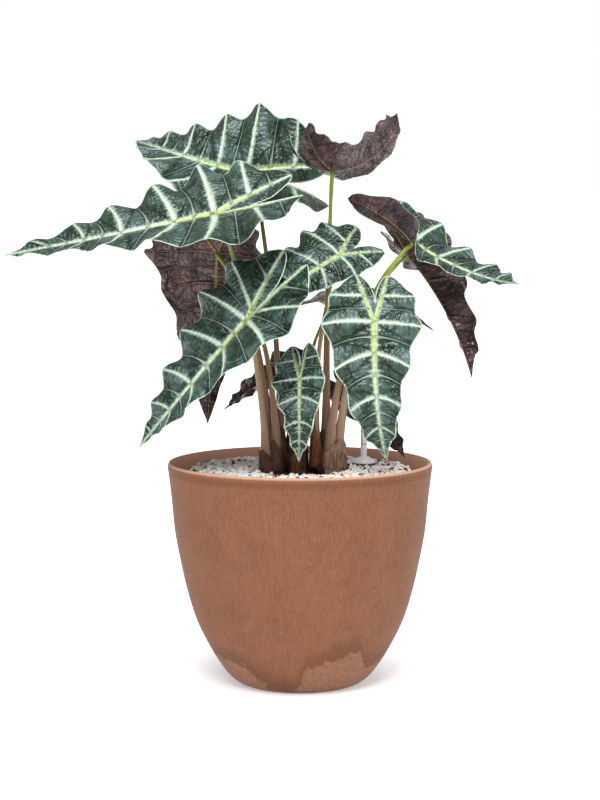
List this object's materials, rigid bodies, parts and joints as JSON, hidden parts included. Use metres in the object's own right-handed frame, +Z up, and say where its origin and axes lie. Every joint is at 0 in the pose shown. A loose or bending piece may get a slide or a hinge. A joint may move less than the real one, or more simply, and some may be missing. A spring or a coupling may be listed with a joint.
{
  "type": "potted alocasia plant",
  "caption": "Bushy arrow-leaved alocasia with pale-veined scalloped leaves on long stalks, in a round tapered planter with a mineral top layer and a water gauge.",
  "frame": {"origin": "centre of the planter's flat underside, on the floor", "axes": "+Z up; the side seen in the reference view faces -Y, and the longest leaf points to -X"},
  "size_m": [0.6325, 0.3725, 0.7284],
  "materials": {
    "pot": "matte terracotta brown with fine upright brush streaks and worn pale patches near the foot",
    "soil": "dark potting soil",
    "mineral_layer": "loose mineral granules in cream, tan, mint and purple-brown",
    "crown_left": "dark brown stem base",
    "crown_middle": "dark brown stem base",
    "crown_right": "dark brown stem base",
    "sheath_left": "dry brown fibrous leaf base",
    "sheath_middle": "dry reddish-brown fibrous leaf base",
    "sheath_right": "dry papery leaf base",
    "gauge_sleeve": "grey plastic",
    "gauge_collar": "grey translucent plastic",
    "gauge_cap": "grey plastic",
    "gauge_tube": "clear plastic with yellow level marks",
    "gauge_float": "red plastic",
    "petiole_front_left": "fleshy stalk, brown at the foot and yellow-green at the top",
    "petiole_front_right": "fleshy stalk, brown at the foot and yellow-green at the top",
    "petiole_front_small": "fleshy stalk, brown at the foot and yellow-green at the top",
    "petiole_centre": "fleshy stalk, brown at the foot and yellow-green at the top",
    "petiole_long_left": "fleshy stalk, brown at the foot and yellow-green at the top",
    "petiole_top_back": "fleshy stalk, brown at the foot and yellow-green at the top",
    "petiole_top_right": "fleshy stalk, brown at the foot and yellow-green at the top",
    "petiole_left_dark": "fleshy stalk, brown at the foot and yellow-green at the top",
    "petiole_right_arch": "fleshy stalk, brown at the foot and yellow-green at the top",
    "petiole_right_droop": "fleshy stalk, brown at the foot and yellow-green at the top",
    "petiole_back_right": "fleshy stalk, brown at the foot and yellow-green at the top",
    "petiole_low_left": "fleshy stalk, brown at the foot and yellow-green at the top",
    "petiole_low_right": "fleshy stalk, brown at the foot and yellow-green at the top",
    "leaf_front_left": "satin leaf: deep green with pale veins above, dark purple-brown below",
    "leaf_front_right": "satin leaf: deep green with pale veins above, dark purple-brown below",
    "leaf_front_small": "satin leaf: deep green with pale veins above, dark purple-brown below",
    "leaf_centre": "satin leaf: deep green with pale veins above, dark purple-brown below",
    "leaf_long_left": "satin leaf: deep green with pale veins above, dark purple-brown below",
    "leaf_top_back": "satin leaf: deep green with pale veins above, dark purple-brown below",
    "leaf_top_right": "satin leaf: deep green with pale veins above, dark purple-brown below",
    "leaf_left_dark": "satin leaf: deep green with pale veins above, dark purple-brown below",
    "leaf_right_arch": "satin leaf: deep green with pale veins above, dark purple-brown below",
    "leaf_right_droop": "satin leaf: deep green with pale veins above, dark purple-brown below",
    "leaf_back_right": "satin leaf: deep green with pale veins above, dark purple-brown below",
    "leaf_low_left": "satin leaf: deep green with pale veins above, dark purple-brown below",
    "leaf_low_right": "satin leaf: deep green with pale veins above, dark purple-brown below"
  },
  "bodies": {
    "root": {"pot": "pot", "soil": "soil", "mineral_layer": "mineral_layer", "crown_left": "crown_left", "crown_middle": "crown_middle", "crown_right": "crown_right", "sheath_left": "sheath_left", "sheath_middle": "sheath_middle", "sheath_right": "sheath_right", "gauge_sleeve": "gauge_sleeve", "gauge_collar": "gauge_collar", "gauge_cap": "gauge_cap", "gauge_tube": "gauge_tube", "gauge_float": "gauge_float", "petiole_front_left": "petiole_front_left", "petiole_front_right": "petiole_front_right", "petiole_front_small": "petiole_front_small", "petiole_centre": "petiole_centre", "petiole_long_left": "petiole_long_left", "petiole_top_back": "petiole_top_back", "petiole_top_right": "petiole_top_right", "petiole_left_dark": "petiole_left_dark", "petiole_right_arch": "petiole_right_arch", "petiole_right_droop": "petiole_right_droop", "petiole_back_right": "petiole_back_right", "petiole_low_left": "petiole_low_left", "petiole_low_right": "petiole_low_right", "leaf_front_left": "leaf_front_left", "leaf_front_right": "leaf_front_right", "leaf_front_small": "leaf_front_small", "leaf_centre": "leaf_centre", "leaf_long_left": "leaf_long_left", "leaf_top_back": "leaf_top_back", "leaf_top_right": "leaf_top_right", "leaf_left_dark": "leaf_left_dark", "leaf_right_arch": "leaf_right_arch", "leaf_right_droop": "leaf_right_droop", "leaf_back_right": "leaf_back_right", "leaf_low_left": "leaf_low_left", "leaf_low_right": "leaf_low_right"}
  },
  "joints": []
}
